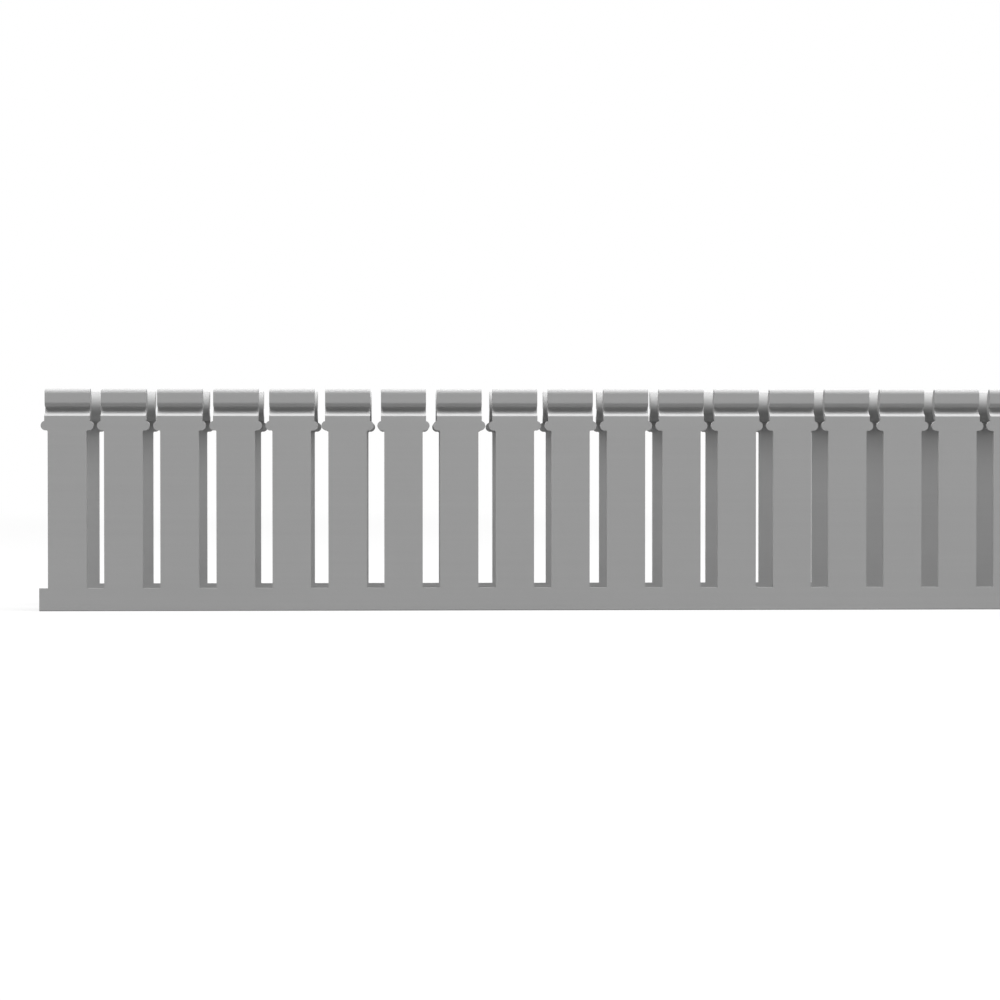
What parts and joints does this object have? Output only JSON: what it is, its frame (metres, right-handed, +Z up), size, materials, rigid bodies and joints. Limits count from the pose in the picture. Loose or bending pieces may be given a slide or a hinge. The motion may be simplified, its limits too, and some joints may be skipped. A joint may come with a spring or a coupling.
{
  "type": "slotted wire duct",
  "caption": "Open-topped slotted wiring duct base with finger walls, rounded wire-retaining ears, cover beads and a slotted floor.",
  "frame": {"origin": "middle of the duct's underside", "axes": "+X along the duct, +Z up from the floor to the open top"},
  "size_m": [0.5, 0.025, 0.0497],
  "materials": {
    "duct": "satin"
  },
  "bodies": {
    "root": {"duct": "duct"}
  },
  "joints": []
}
